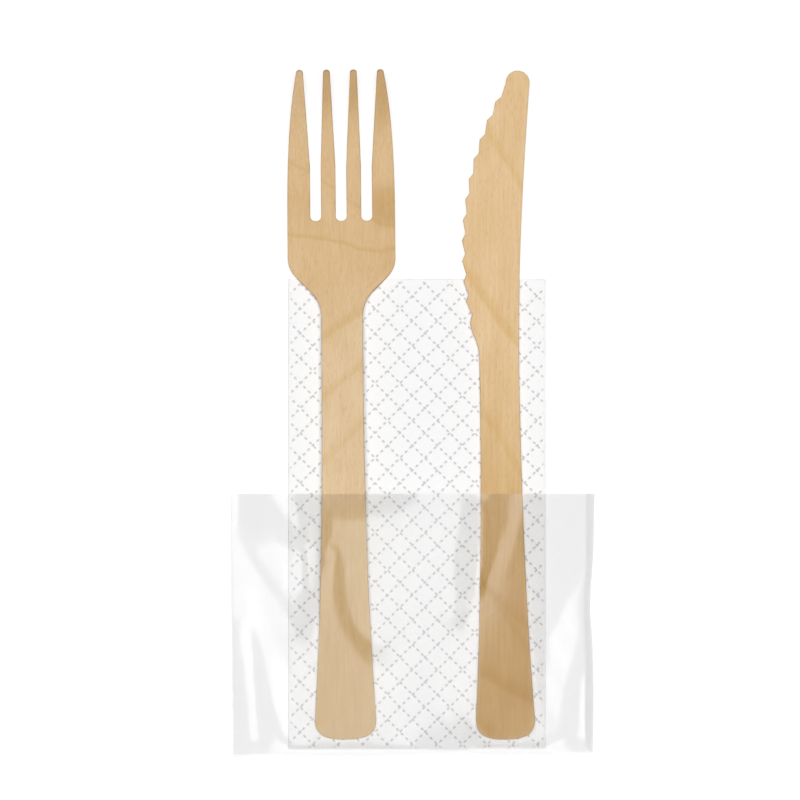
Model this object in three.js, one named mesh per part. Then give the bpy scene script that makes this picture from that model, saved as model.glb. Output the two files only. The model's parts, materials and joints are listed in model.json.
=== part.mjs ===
// Wooden cutlery kit. A pressed birch fork and a toothed birch knife lie on a folded paper napkin, and a
// clear film pouch, open at its top, holds both handles and the lower half of the napkin.
// Millimetres, +Z up. The kit lies on its back: +X runs from the fork to the knife, +Y from the handles
// to the tips, and every piece rests on the one below it with the same small clearance.

import * as THREE from 'three';
import { TessellateModifier } from 'three/addons/modifiers/TessellateModifier.js';
import { mergeVertices } from 'three/addons/utils/BufferGeometryUtils.js';

// Veneer that fork and knife are cut from
const VENEER_THICKNESS = 1.7;
const EDGE_ROUNDING = 0.3;
const CLEARANCE = 0.3;

// Handles, of one form with two widths
const HANDLE_END_DEPTH = 4.8;
const FORK_HANDLE_END_WIDTH = 15.1;
const FORK_NECK_WIDTH = 10.2;
const FORK_NECK_LENGTH = 13.4;
const KNIFE_HANDLE_END_WIDTH = 14.5;
const KNIFE_NECK_WIDTH = 9.7;
const KNIFE_NECK_LENGTH = 3.2;

// Fork head
const FORK_LENGTH = 165;
const PALM_LENGTH = 9.2;
const FORK_HEAD_WIDTH = 26.6;
const SHOULDER_ANGLE = Math.PI / 4;
const SHOULDER_INNER_RADIUS = 8.8;
const SHOULDER_OUTER_RADIUS = 6.5;
const TINE_COUNT = 4;
const TINE_LENGTH = 37;
const TINE_TIP_WIDTH = 1.7;
const TINE_TIP_PITCH = 6.64;
const TINE_TIP_ROUNDING = 0.7;
const SLOT_WIDTH = 2.7;
const SLOT_PITCH = 6.3;
const SLOT_END_DEPTH = 1.1;
const SLOT_STRAIGHT_LENGTH = 13.5;

// Pressed curve of the fork: the neck arches up, the bowl dips at the tine roots and the tips rise
const NECK_ARCH_HEIGHT = 3.2;
const NECK_ARCH_FROM_TIPS = 77;
const BOWL_FROM_TIPS = 39;
const TIP_RISE = 7;

// Knife blade
const KNIFE_LENGTH = 165;
const KNIFE_TIP_RADIUS = 2.95;
const KNIFE_TIP_OFFSET = 5.75;
const BELLY_DEPTH = 8.76;
const BELLY_FROM_TIP = 44.7;
const EDGE_ARC_RADIUS = 82;
const TOOTH_COUNT = 12;
const TOOTH_PITCH = 5.08;
const TOOTH_STEP_LENGTH = 1.7;
const TOOTH_DEPTH = 0.8;
const FIRST_TOOTH_FROM_TIP = 7.5;
const HEEL_LENGTH = 9.2;

// Napkin: one sheet folded in half and then twice over, so it lies as four doubled layers
const NAPKIN_WIDTH = 63.5;
const NAPKIN_LENGTH = 116;
const DOUBLED_SHEET_THICKNESS = 0.4;
const LAYER_GAP = 0.05;

// Film pouch: a flat tube with two side folds, welded at the bottom
const FILM_THICKNESS = 0.1;
const POUCH_HEIGHT = 65;
const POUCH_SPARE_LEFT = 14.3;
const POUCH_SPARE_RIGHT = 12.2;
const WELD_HEIGHT = 0.8;
const SIDE_FOLD_HEIGHT = 0.5;
const FILM_FALL_BESIDE_HANDLES = 0.45;
const FILM_SOFTNESS = 0.22;

// Places in the pouch
const NAPKIN_FROM_WELD = 1.2;
const HANDLES_FROM_NAPKIN_END = 2.4;
const FORK_FROM_NAPKIN_SIDE = 14.2;
const KNIFE_FROM_NAPKIN_SIDE = 9.8;
const FORK_LEAN = THREE.MathUtils.degToRad(0.5);
const KNIFE_LEAN = THREE.MathUtils.degToRad(1.0);

// Creases that stand up from the pouch's front, each from one point to another, measured from the
// middle of the pouch and from its lower end, with the half width and the height of the ridge
const CREASES = [
  { from: [-37, 65], to: [-31, 54], halfWidth: 2.2, height: 0.7 },
  { from: [-44, 52], to: [-31, 34], halfWidth: 3.2, height: 0.9 },
  { from: [-41, 32], to: [-36, 3], halfWidth: 2.4, height: 0.6 },
  { from: [41, 62], to: [36, 44], halfWidth: 2.2, height: 0.6 },
  { from: [41, 38], to: [35, 16], halfWidth: 2.6, height: 0.8 },
  { from: [2, 64], to: [6, 40], halfWidth: 3.5, height: 0.8 },
  { from: [4, 26], to: [-2, 4], halfWidth: 3.2, height: 0.6 },
];

// Pull of the curves: how far along its first and last tangent each control point stands
const HANDLE_END_PULL = [0.64, 0.81];
const HANDLE_TAPER_PULL = 0.44;
const TINE_SIDE_PULL = [0.41, 0.27];
const HEEL_PULL = [0.33, 0.5];

// Fineness of curves and of the film's mesh
const CURVE_STEPS = 10;
const FLATNESS = 1e-6;
const SAME_POINT = 0.015;
const PRESS_STEP = 6;
const PRESS_MAX_EDGE = 8;
const FRONT_PANEL_STEPS = [5, 3, 3, 5, 3, 3, 4];
const FOLD_STEPS = 4;
const RISE_STEPS = 3;
const POUCH_STEPS = 14;

// Levels and places that follow from these sizes
const layerPitch = DOUBLED_SHEET_THICKNESS + LAYER_GAP;
const napkinThickness = 3 * layerPitch + DOUBLED_SHEET_THICKNESS;
const napkinTop = FILM_THICKNESS + CLEARANCE + napkinThickness;
const cutleryRest = napkinTop + CLEARANCE;
const pouchWidth = POUCH_SPARE_LEFT + NAPKIN_WIDTH + POUCH_SPARE_RIGHT;
const napkinLeft = -pouchWidth / 2 + POUCH_SPARE_LEFT;
const napkinRight = napkinLeft + NAPKIN_WIDTH;
const napkinStart = WELD_HEIGHT + NAPKIN_FROM_WELD;
const handleStart = napkinStart + HANDLES_FROM_NAPKIN_END;
const forkAxisX = napkinLeft + FORK_FROM_NAPKIN_SIDE;
const knifeAxisX = napkinRight - KNIFE_FROM_NAPKIN_SIDE;

// Right side of a handle, from the middle of its end up to the neck
function traceHandle(path, endWidth, neckWidth, taperEnd) {
  const endHalf = endWidth / 2;
  const neckHalf = neckWidth / 2;
  const [flatPull, cornerPull] = HANDLE_END_PULL;
  path.moveTo(0, 0);
  path.bezierCurveTo(endHalf * flatPull, 0, endHalf, HANDLE_END_DEPTH * (1 - cornerPull),
    endHalf, HANDLE_END_DEPTH);
  const taperMiddle = THREE.MathUtils.lerp(HANDLE_END_DEPTH, taperEnd, HANDLE_TAPER_PULL);
  path.quadraticCurveTo(neckHalf, taperMiddle, neckHalf, taperEnd);
}

const mirrored = (points) => points.map((point) => new THREE.Vector2(-point.x, point.y)).reverse();

// Right side of the fork, from the handle's end to the outer edge of the outer tine's tip
function forkSide() {
  const side = new THREE.Path();
  const neckHalf = FORK_NECK_WIDTH / 2;
  const headHalf = FORK_HEAD_WIDTH / 2;
  const tineRoot = FORK_LENGTH - TINE_LENGTH;
  const bend = Math.tan(SHOULDER_ANGLE / 2);
  const outerEnd = tineRoot - PALM_LENGTH;
  const outerCorner = outerEnd - SHOULDER_OUTER_RADIUS * bend;
  const innerCorner = outerCorner - (headHalf - neckHalf) / Math.tan(SHOULDER_ANGLE);
  const innerStart = innerCorner - SHOULDER_INNER_RADIUS * bend;
  traceHandle(side, FORK_HANDLE_END_WIDTH, FORK_NECK_WIDTH, innerStart - FORK_NECK_LENGTH);
  side.absarc(neckHalf + SHOULDER_INNER_RADIUS, innerStart, SHOULDER_INNER_RADIUS,
    Math.PI, Math.PI - SHOULDER_ANGLE, true);
  side.absarc(headHalf - SHOULDER_OUTER_RADIUS, outerEnd, SHOULDER_OUTER_RADIUS, -SHOULDER_ANGLE, 0, false);
  const tipEdge = (TINE_COUNT - 1) / 2 * TINE_TIP_PITCH + TINE_TIP_WIDTH / 2;
  side.lineTo(headHalf, tineRoot);
  const [rootPull, tipPull] = TINE_SIDE_PULL;
  side.bezierCurveTo(headHalf, tineRoot + TINE_LENGTH * rootPull,
    THREE.MathUtils.lerp(headHalf, tipEdge, tipPull), FORK_LENGTH - TINE_LENGTH * tipPull,
    tipEdge, FORK_LENGTH - TINE_TIP_ROUNDING);
  return side.getPoints(CURVE_STEPS);
}

// Tips and slots of the fork, traced from the right tine to the left one
function forkCrown() {
  const crown = new THREE.Path();
  const tipHalf = TINE_TIP_WIDTH / 2;
  const tipBase = FORK_LENGTH - TINE_TIP_ROUNDING;
  const slotHalf = SLOT_WIDTH / 2;
  const slotArc = FORK_LENGTH - TINE_LENGTH + SLOT_END_DEPTH;
  const slotStraight = FORK_LENGTH - TINE_LENGTH + SLOT_STRAIGHT_LENGTH;
  for (let tine = TINE_COUNT - 1; tine >= 0; tine--) {
    const tipX = (tine - (TINE_COUNT - 1) / 2) * TINE_TIP_PITCH;
    crown.absellipse(tipX, tipBase, tipHalf, TINE_TIP_ROUNDING, 0, Math.PI, false);
    if (tine > 0) {
      const slotX = (tine - TINE_COUNT / 2) * SLOT_PITCH;
      crown.lineTo(slotX + slotHalf, slotStraight);
      crown.absellipse(slotX, slotArc, slotHalf, SLOT_END_DEPTH, 0, Math.PI, true);
      crown.lineTo(slotX - slotHalf, slotStraight);
    }
  }
  return crown.getPoints(CURVE_STEPS / 2);
}

// Points and notches of the knife's teeth, from the tip down, along the arc of the cutting edge
function teethPoints() {
  const centre = new THREE.Vector2(EDGE_ARC_RADIUS - BELLY_DEPTH, KNIFE_LENGTH - BELLY_FROM_TIP);
  const onArc = (radius, turn) => new THREE.Vector2(
    centre.x - radius * Math.cos(turn),
    centre.y + radius * Math.sin(turn),
  );
  const firstTurn = Math.asin((BELLY_FROM_TIP - FIRST_TOOTH_FROM_TIP) / EDGE_ARC_RADIUS);
  const points = [];
  for (let tooth = 0; tooth < TOOTH_COUNT; tooth++) {
    const turn = firstTurn - tooth * TOOTH_PITCH / EDGE_ARC_RADIUS;
    points.push(onArc(EDGE_ARC_RADIUS - TOOTH_DEPTH, turn + TOOTH_STEP_LENGTH / EDGE_ARC_RADIUS));
    points.push(onArc(EDGE_ARC_RADIUS, turn));
  }
  return points;
}

// Outline of the knife: the spine side up, the round tip, the teeth down and the other handle side
function knifeOutline() {
  const teeth = teethPoints();
  const heel = teeth.at(-1);
  const heelEnd = heel.y - HEEL_LENGTH;
  const neckHalf = KNIFE_NECK_WIDTH / 2;
  const handle = new THREE.Path();
  traceHandle(handle, KNIFE_HANDLE_END_WIDTH, KNIFE_NECK_WIDTH, heelEnd - KNIFE_NECK_LENGTH);
  const handleSide = handle.getPoints(CURVE_STEPS);
  const blade = new THREE.Path();
  const tipBase = KNIFE_LENGTH - KNIFE_TIP_RADIUS;
  blade.moveTo(neckHalf, heelEnd - KNIFE_NECK_LENGTH);
  blade.quadraticCurveTo(neckHalf, KNIFE_LENGTH - BELLY_FROM_TIP,
    KNIFE_TIP_OFFSET + KNIFE_TIP_RADIUS, tipBase);
  blade.absarc(KNIFE_TIP_OFFSET, tipBase, KNIFE_TIP_RADIUS, 0, Math.PI, false);
  teeth.forEach((point) => blade.lineTo(point.x, point.y));
  const [heelPull, neckPull] = HEEL_PULL;
  blade.bezierCurveTo(heel.x, heel.y - HEEL_LENGTH * heelPull,
    -neckHalf, heelEnd + HEEL_LENGTH * neckPull, -neckHalf, heelEnd);
  return [...handleSide, ...blade.getPoints(CURVE_STEPS), ...mirrored(handleSide)];
}

// Flat blank with rounded edges, its underside at z = 0
function cutBlank(outline) {
  const distinct = outline.filter((point, i) => point.distanceTo(outline.at(i - 1)) > SAME_POINT);
  return new THREE.ExtrudeGeometry(new THREE.Shape(distinct), {
    depth: VENEER_THICKNESS - 2 * EDGE_ROUNDING,
    bevelThickness: EDGE_ROUNDING,
    bevelSize: EDGE_ROUNDING,
    bevelOffset: -EDGE_ROUNDING,
    bevelSegments: 2,
    curveSegments: CURVE_STEPS,
  }).translate(0, 0, EDGE_ROUNDING);
}

function closedGeometry(geometry) {
  geometry.deleteAttribute('normal');
  geometry.deleteAttribute('uv');
  const merged = mergeVertices(geometry);
  merged.computeVertexNormals();
  return merged;
}

// Adds a point to an outline wherever it crosses one of the levels across the piece
function withLevels(outline, levels) {
  return outline.flatMap((point, i) => {
    const next = outline[(i + 1) % outline.length];
    const [low, high] = [point.y, next.y].sort((a, b) => a - b);
    const crossed = levels.filter((level) => level > low && level < high);
    const ordered = point.y < next.y ? crossed : crossed.reverse();
    const cuts = ordered.map((level) => point.clone().lerp(next, (level - point.y) / (next.y - point.y)));
    return [point, ...cuts];
  });
}

// Swaps the diagonal of two triangles that lie in one plane for the other one where that is shorter,
// so that a flat face bends across and not along its length
function shortenDiagonals(geometry) {
  const { position } = geometry.attributes;
  const corners = [];
  for (let v = 0; v < position.count; v++) {
    corners.push(new THREE.Vector3().fromBufferAttribute(position, v));
  }
  const facing = (t) => new THREE.Triangle(...t.map((v) => corners[v])).getNormal(new THREE.Vector3());
  const triangles = [];
  for (let i = 0; i < geometry.index.count; i += 3) {
    triangles.push([0, 1, 2].map((k) => geometry.index.getX(i + k)));
  }
  let swapped = true;
  while (swapped) {
    swapped = false;
    const owners = new Map();
    triangles.forEach((t, n) => t.forEach((v, k) => owners.set(`${v} ${t[(k + 1) % 3]}`, n)));
    const touched = new Set();
    for (const [edge, first] of owners) {
      const [a, b] = edge.split(' ').map(Number);
      const second = owners.get(`${b} ${a}`);
      if (touched.has(first) || touched.has(second)) {
        continue;
      }
      const c = triangles[first].find((v) => v !== a && v !== b);
      const d = triangles[second].find((v) => v !== a && v !== b);
      if (corners[c].distanceTo(corners[d]) > corners[a].distanceTo(corners[b]) - FLATNESS) {
        continue;
      }
      const swap = [[a, d, c], [d, b, c]];
      const plane = facing(triangles[first]);
      if ([triangles[second], ...swap].every((t) => facing(t).dot(plane) > 1 - FLATNESS)) {
        [triangles[first], triangles[second]] = swap;
        touched.add(first).add(second);
        swapped = true;
      }
    }
  }
  geometry.setIndex(triangles.flat());
  return geometry;
}

// Height of the pressed fork above the plane that its handle's end and its bowl lie on
function pressedHeight(y) {
  const archAt = FORK_LENGTH - NECK_ARCH_FROM_TIPS;
  const bowlAt = FORK_LENGTH - BOWL_FROM_TIPS;
  if (y > bowlAt) {
    return TIP_RISE * ((y - bowlAt) / BOWL_FROM_TIPS) ** 2;
  }
  const fromArch = y < archAt ? 1 - Math.max(0, y) / archAt : (y - archAt) / (bowlAt - archAt);
  return NECK_ARCH_HEIGHT * (1 + Math.cos(Math.PI * fromArch)) / 2;
}

// Bends the flat fork blank to the pressed curve at its full thickness
function press(geometry) {
  const position = geometry.attributes.position;
  const reach = 0.01;
  for (let i = 0; i < position.count; i++) {
    const y = position.getY(i);
    const tilt = Math.atan((pressedHeight(y + reach) - pressedHeight(y - reach)) / (2 * reach));
    const fromMiddle = position.getZ(i) - VENEER_THICKNESS / 2;
    position.setY(i, y - fromMiddle * Math.sin(tilt));
    position.setZ(i, VENEER_THICKNESS / 2 + pressedHeight(y) + fromMiddle * Math.cos(tilt));
  }
  geometry.computeVertexNormals();
  return geometry;
}

// Slope at which the fork comes to rest: it turns down about its handle's end until its underside
// meets the napkin, or beyond the napkin's edge the surface that the kit lies on
function forkFall() {
  const napkinEnd = napkinStart + NAPKIN_LENGTH + CLEARANCE - handleStart;
  let fall = Infinity;
  for (let y = FORK_LENGTH / 3; y < FORK_LENGTH; y += 0.5) {
    const room = pressedHeight(y) + (y < napkinEnd ? 0 : cutleryRest - CLEARANCE);
    fall = Math.min(fall, room / y);
  }
  return fall;
}

const forkRightSide = forkSide();
const forkSlope = forkFall();
const knifePoints = knifeOutline();

function makeFork() {
  const outline = [...forkRightSide, ...forkCrown(), ...mirrored(forkRightSide)];
  const levels = [];
  for (let y = PRESS_STEP; y < FORK_LENGTH; y += PRESS_STEP) {
    levels.push(y);
  }
  const blank = shortenDiagonals(closedGeometry(cutBlank(withLevels(outline, levels))));
  const splitter = new TessellateModifier(PRESS_MAX_EDGE);
  const fork = new THREE.Mesh(
    press(closedGeometry(splitter.modify(blank))),
    new THREE.MeshStandardMaterial({ color: 0xd9bd92, roughness: 0.7, metalness: 0 }),
  );
  fork.name = 'fork';
  fork.rotation.x = -Math.atan(forkSlope);
  const place = new THREE.Group();
  place.position.set(forkAxisX, handleStart, cutleryRest);
  place.rotation.z = FORK_LEAN;
  place.add(fork);
  return place;
}

function makeKnife() {
  const knife = new THREE.Mesh(
    closedGeometry(cutBlank(knifePoints)),
    new THREE.MeshStandardMaterial({ color: 0xdbbb8c, roughness: 0.7, metalness: 0 }),
  );
  knife.name = 'knife';
  knife.position.set(knifeAxisX, handleStart, cutleryRest);
  knife.rotation.z = KNIFE_LEAN;
  return knife;
}

// Section of the folded napkin, across its width: the strip starts inside, turns over itself twice
// and then wraps round the whole stack
function napkinSection() {
  const half = DOUBLED_SHEET_THICKNESS / 2;
  const level = [0, 1, 2, 3].map((layer) => half + layer * layerPitch);
  const wrapRadius = (level[3] - level[0]) / 2;
  const turnRadius = layerPitch / 2;
  const leftTurn = wrapRadius + half;
  const rightTurn = NAPKIN_WIDTH - turnRadius - half;
  const freeEnd = rightTurn;
  const up = Math.PI / 2;
  const section = new THREE.Shape();
  section.moveTo(freeEnd, level[1] - half);
  section.lineTo(freeEnd, level[1] + half);
  section.absarc(leftTurn, (level[1] + level[2]) / 2, turnRadius - half, -up, up, true);
  section.absarc(rightTurn, (level[2] + level[3]) / 2, turnRadius + half, -up, up, false);
  section.absarc(leftTurn, (level[0] + level[3]) / 2, wrapRadius + half, up, 3 * up, false);
  section.lineTo(freeEnd, level[0] - half);
  section.lineTo(freeEnd, level[0] + half);
  section.absarc(leftTurn, (level[0] + level[3]) / 2, wrapRadius - half, 3 * up, up, true);
  section.absarc(rightTurn, (level[2] + level[3]) / 2, turnRadius - half, up, -up, true);
  section.absarc(leftTurn, (level[1] + level[2]) / 2, turnRadius + half, up, 3 * up, false);
  section.closePath();
  return section;
}

function makeNapkin() {
  const body = new THREE.ExtrudeGeometry(napkinSection(), {
    depth: NAPKIN_LENGTH,
    bevelEnabled: false,
    curveSegments: CURVE_STEPS / 2,
  });
  const napkin = new THREE.Mesh(
    closedGeometry(body.rotateX(Math.PI / 2).translate(0, NAPKIN_LENGTH, 0)),
    new THREE.MeshStandardMaterial({ color: 0xf6f6f5, roughness: 0.95, metalness: 0 }),
  );
  napkin.name = 'napkin';
  napkin.position.set(napkinLeft, napkinStart, FILM_THICKNESS + CLEARANCE);
  return napkin;
}

// Half width of an outline's right side at the height y along its axis
function halfWidthAt(side, y) {
  const upper = Math.max(1, side.findIndex((point) => point.y >= y));
  const [a, b] = [side[upper - 1], side[upper]];
  return THREE.MathUtils.mapLinear(y, a.y, b.y, a.x, b.x);
}

// Where a handle lies under the film at one height of the pouch
function handleUnderFilm(side, axisX, lean, y, top) {
  const along = Math.max(y - handleStart, HANDLE_END_DEPTH);
  const middle = axisX - along * Math.tan(lean);
  const reach = halfWidthAt(side, along) + CLEARANCE;
  const shortOf = Math.max(0, handleStart - CLEARANCE - y);
  return { left: middle - reach, right: middle + reach, shortOf, top: top(along) };
}

function handlesUnderFilm(y) {
  const forkTop = (along) => cutleryRest + VENEER_THICKNESS + pressedHeight(along) - along * forkSlope;
  const knifeTop = () => cutleryRest + VENEER_THICKNESS;
  return [
    handleUnderFilm(forkRightSide, forkAxisX, FORK_LEAN, y, forkTop),
    handleUnderFilm(knifePoints, knifeAxisX, KNIFE_LEAN, y, knifeTop),
  ];
}

function creaseHeight(x, y) {
  let height = 0;
  for (const { from, to, halfWidth, height: ridge } of CREASES) {
    const start = new THREE.Vector2(...from);
    const run = new THREE.Vector2(...to).sub(start);
    const offset = new THREE.Vector2(x, y).sub(start);
    const share = THREE.MathUtils.clamp(offset.dot(run) / run.lengthSq(), 0, 1);
    const away = offset.addScaledVector(run, -share).length() / halfWidth;
    height += ridge * Math.exp(-away * away);
  }
  return height;
}

// Height of the pouch's front: it lies over the napkin and the handles, falls to the two side folds
// and runs down to the weld at the lower end
function frontHeight(x, y, handles) {
  const flat = napkinTop + CLEARANCE + FILM_THICKNESS;
  const besideLeft = (napkinLeft - CLEARANCE - x) / (POUCH_SPARE_LEFT - CLEARANCE);
  const besideRight = (x - napkinRight - CLEARANCE) / (POUCH_SPARE_RIGHT - CLEARANCE);
  const beside = THREE.MathUtils.clamp(Math.max(besideLeft, besideRight), 0, 1);
  const levels = [THREE.MathUtils.lerp(flat, SIDE_FOLD_HEIGHT, Math.sin(beside * Math.PI / 2))];
  for (const handle of handles) {
    const away = Math.hypot(Math.max(0, handle.left - x, x - handle.right), handle.shortOf);
    levels.push(handle.top + CLEARANCE + FILM_THICKNESS - FILM_FALL_BESIDE_HANDLES * away);
  }
  const highest = Math.max(...levels);
  const soft = levels.reduce((sum, level) => sum + Math.exp((level - highest) / FILM_SOFTNESS), 0);
  const rise = THREE.MathUtils.clamp((y - WELD_HEIGHT) / (NAPKIN_FROM_WELD - CLEARANCE), 0, 1);
  const foldFade = Math.cos(beside * Math.PI / 2);
  const draped = highest + foldFade * (FILM_SOFTNESS * Math.log(soft) + creaseHeight(x, y));
  return THREE.MathUtils.lerp(2 * FILM_THICKNESS, draped, rise);
}

// One closed loop of the pouch: the front from left to right, the right fold, the back and the left fold
function pouchLoop(y) {
  const handles = handlesUnderFilm(y);
  const foldRadius = frontHeight(-pouchWidth / 2, y, handles) / 2;
  const edge = pouchWidth / 2 - foldRadius;
  const handleSides = handles.flatMap(({ left, right }) => [left, right]);
  const knots = [-edge, napkinLeft, ...handleSides, napkinRight, edge];
  knots.sort((a, b) => a - b);
  const across = [knots[0]];
  FRONT_PANEL_STEPS.forEach((steps, panel) => {
    for (let step = 1; step <= steps; step++) {
      across.push(THREE.MathUtils.lerp(knots[panel], knots[panel + 1], step / steps));
    }
  });
  const front = across.map((x) => {
    const height = Math.abs(x) < edge ? frontHeight(x, y, handles) : 2 * foldRadius;
    return new THREE.Vector3(x, y, height);
  });
  const back = across.map((x) => new THREE.Vector3(x, y, 0)).reverse();
  const fold = (middle, start) => Array.from({ length: FOLD_STEPS - 1 }, (_, i) => {
    const turn = start - Math.PI * (i + 1) / FOLD_STEPS;
    return new THREE.Vector3(middle + foldRadius * Math.cos(turn), y, foldRadius * (1 + Math.sin(turn)));
  });
  return [...front, ...fold(edge, Math.PI / 2), ...back, ...fold(-edge, -Math.PI / 2)];
}

// Moves every point of the loops inwards by the film's thickness, for the inner side of the wall
function innerLoops(loops, first) {
  const count = loops[0].length;
  return loops.slice(first).map((loop, i) => loop.map((point, k) => {
    const below = loops[first + i - 1][k];
    const above = (loops[first + i + 1] ?? loop)[k];
    const along = above.clone().sub(below);
    const around = loop[(k + 1) % count].clone().sub(loop[(k + count - 1) % count]);
    const outwards = around.cross(along).normalize();
    return point.clone().addScaledVector(outwards, -FILM_THICKNESS);
  }));
}

// Closed wall of the pouch: outer loops, inner loops from above the weld, the rim and two end strips
function pouchGeometry() {
  const risen = napkinStart - CLEARANCE;
  const levels = [0, WELD_HEIGHT];
  for (let step = 1; step <= RISE_STEPS; step++) {
    levels.push(THREE.MathUtils.lerp(WELD_HEIGHT, risen, step / RISE_STEPS));
  }
  const handleEnds = handleStart - CLEARANCE;
  for (let step = 0; step <= POUCH_STEPS; step++) {
    levels.push(THREE.MathUtils.lerp(handleEnds, POUCH_HEIGHT, step / POUCH_STEPS));
  }
  const outer = levels.map(pouchLoop);
  const inner = innerLoops(outer, 2);
  const count = outer[0].length;
  const points = [...outer, ...inner].flat();
  const triangles = [];
  const quad = (a, b, c, d) => triangles.push(a, b, c, a, c, d);
  const at = (row, k) => row * count + (k + count) % count;
  const lastOuter = outer.length - 1;
  const lastInner = lastOuter + inner.length;
  for (let k = 0; k < count; k++) {
    for (let row = 0; row < lastOuter; row++) {
      quad(at(row, k), at(row, k + 1), at(row + 1, k + 1), at(row + 1, k));
    }
    for (let row = lastOuter + 1; row < lastInner; row++) {
      quad(at(row, k + 1), at(row, k), at(row + 1, k), at(row + 1, k + 1));
    }
    quad(at(lastOuter, k), at(lastOuter, k + 1), at(lastInner, k + 1), at(lastInner, k));
  }
  // An end strip joins each point of the front to the point of the back behind it
  const endStrip = (row, side) => {
    const behind = (k) => at(row, count - FOLD_STEPS - k);
    const frontCount = (count - 2 * (FOLD_STEPS - 1)) / 2;
    for (let k = -FOLD_STEPS / 2; k < frontCount - 1 + FOLD_STEPS / 2; k++) {
      const corners = [at(row, k), behind(k), behind(k + 1), at(row, k + 1)];
      const distinct = corners.filter((corner, i) => corner !== corners[(i + 3) % 4]);
      const ring = side > 0 ? distinct : distinct.reverse();
      for (let i = 2; i < ring.length; i++) {
        triangles.push(ring[0], ring[i - 1], ring[i]);
      }
    }
  };
  endStrip(0, 1);
  endStrip(lastOuter + 1, -1);
  const geometry = new THREE.BufferGeometry().setFromPoints(points);
  geometry.setIndex(triangles);
  geometry.computeVertexNormals();
  return geometry;
}

function makePouch() {
  const pouch = new THREE.Mesh(
    pouchGeometry(),
    new THREE.MeshStandardMaterial({
      color: 0xf4f5f6, roughness: 0.1, metalness: 0, transparent: true, opacity: 0.25,
    }),
  );
  pouch.name = 'film_pouch';
  return pouch;
}

// The finished kit, with its origin under the middle of its box
const kit = new THREE.Group();
kit.add(makeFork(), makeKnife(), makeNapkin(), makePouch());
const middle = new THREE.Box3().setFromObject(kit).getCenter(new THREE.Vector3());
kit.position.set(-middle.x, -middle.y, 0);
const cutleryKit = new THREE.Group();
cutleryKit.add(kit);

export default cutleryKit;
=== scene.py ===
"""Wooden cutlery kit: birch fork and knife on a folded paper napkin, handles in a clear film pouch.

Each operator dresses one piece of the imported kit, and the last one sets up floor, light and camera.
"""

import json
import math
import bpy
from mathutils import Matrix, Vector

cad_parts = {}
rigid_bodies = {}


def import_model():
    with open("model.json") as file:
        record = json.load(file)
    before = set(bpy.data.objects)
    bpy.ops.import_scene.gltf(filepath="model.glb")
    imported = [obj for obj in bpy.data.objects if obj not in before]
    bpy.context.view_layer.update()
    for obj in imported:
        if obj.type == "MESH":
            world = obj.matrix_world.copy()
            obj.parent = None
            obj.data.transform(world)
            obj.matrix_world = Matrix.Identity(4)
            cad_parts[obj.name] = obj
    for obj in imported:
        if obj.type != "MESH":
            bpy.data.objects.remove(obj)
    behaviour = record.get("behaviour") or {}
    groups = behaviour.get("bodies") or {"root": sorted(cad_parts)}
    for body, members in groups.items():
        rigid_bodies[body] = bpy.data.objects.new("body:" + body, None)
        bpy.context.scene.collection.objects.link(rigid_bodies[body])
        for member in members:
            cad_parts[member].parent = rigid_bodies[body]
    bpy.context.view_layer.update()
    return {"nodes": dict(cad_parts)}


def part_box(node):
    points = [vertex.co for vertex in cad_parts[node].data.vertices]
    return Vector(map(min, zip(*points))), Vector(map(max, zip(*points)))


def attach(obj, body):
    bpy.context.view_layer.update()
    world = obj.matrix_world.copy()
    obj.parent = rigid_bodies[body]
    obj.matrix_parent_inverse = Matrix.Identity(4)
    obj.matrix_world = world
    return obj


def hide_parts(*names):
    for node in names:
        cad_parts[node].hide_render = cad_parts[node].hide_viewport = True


bl_info = {
    "name": "Wooden cutlery kit",
    "version": (1, 0, 0),
    "blender": (4, 5, 0),
    "location": "3D View > Sidebar > Cutlery kit",
    "description": "Birch fork and knife, folded napkin and clear film pouch around the packed kit",
    "category": "Object",
}

import bmesh
import bpy
import numpy as np
from bpy.props import FloatProperty, FloatVectorProperty, PointerProperty
from mathutils import Vector
from mathutils.bvhtree import BVHTree
from mathutils.geometry import delaunay_2d_cdt

for start_object in list(bpy.data.objects):
    bpy.data.objects.remove(start_object)

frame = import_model()

# Metres in a millimetre
MM = 0.001


def box_mm(node):
    """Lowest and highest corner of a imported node, in millimetres."""
    return [np.array(corner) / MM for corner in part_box(node)]


def linear(*shade):
    """Linear colour of a shade that is given as it looks, from 0 to 255."""
    values = [value / 255 for value in shade]
    return tuple(v / 12.92 if v < 0.04045 else ((v + 0.055) / 1.055) ** 2.4 for v in values)


NAPKIN_LOW, NAPKIN_HIGH = box_mm("napkin")
POUCH_LOW, POUCH_HIGH = box_mm("film_pouch")


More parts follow.
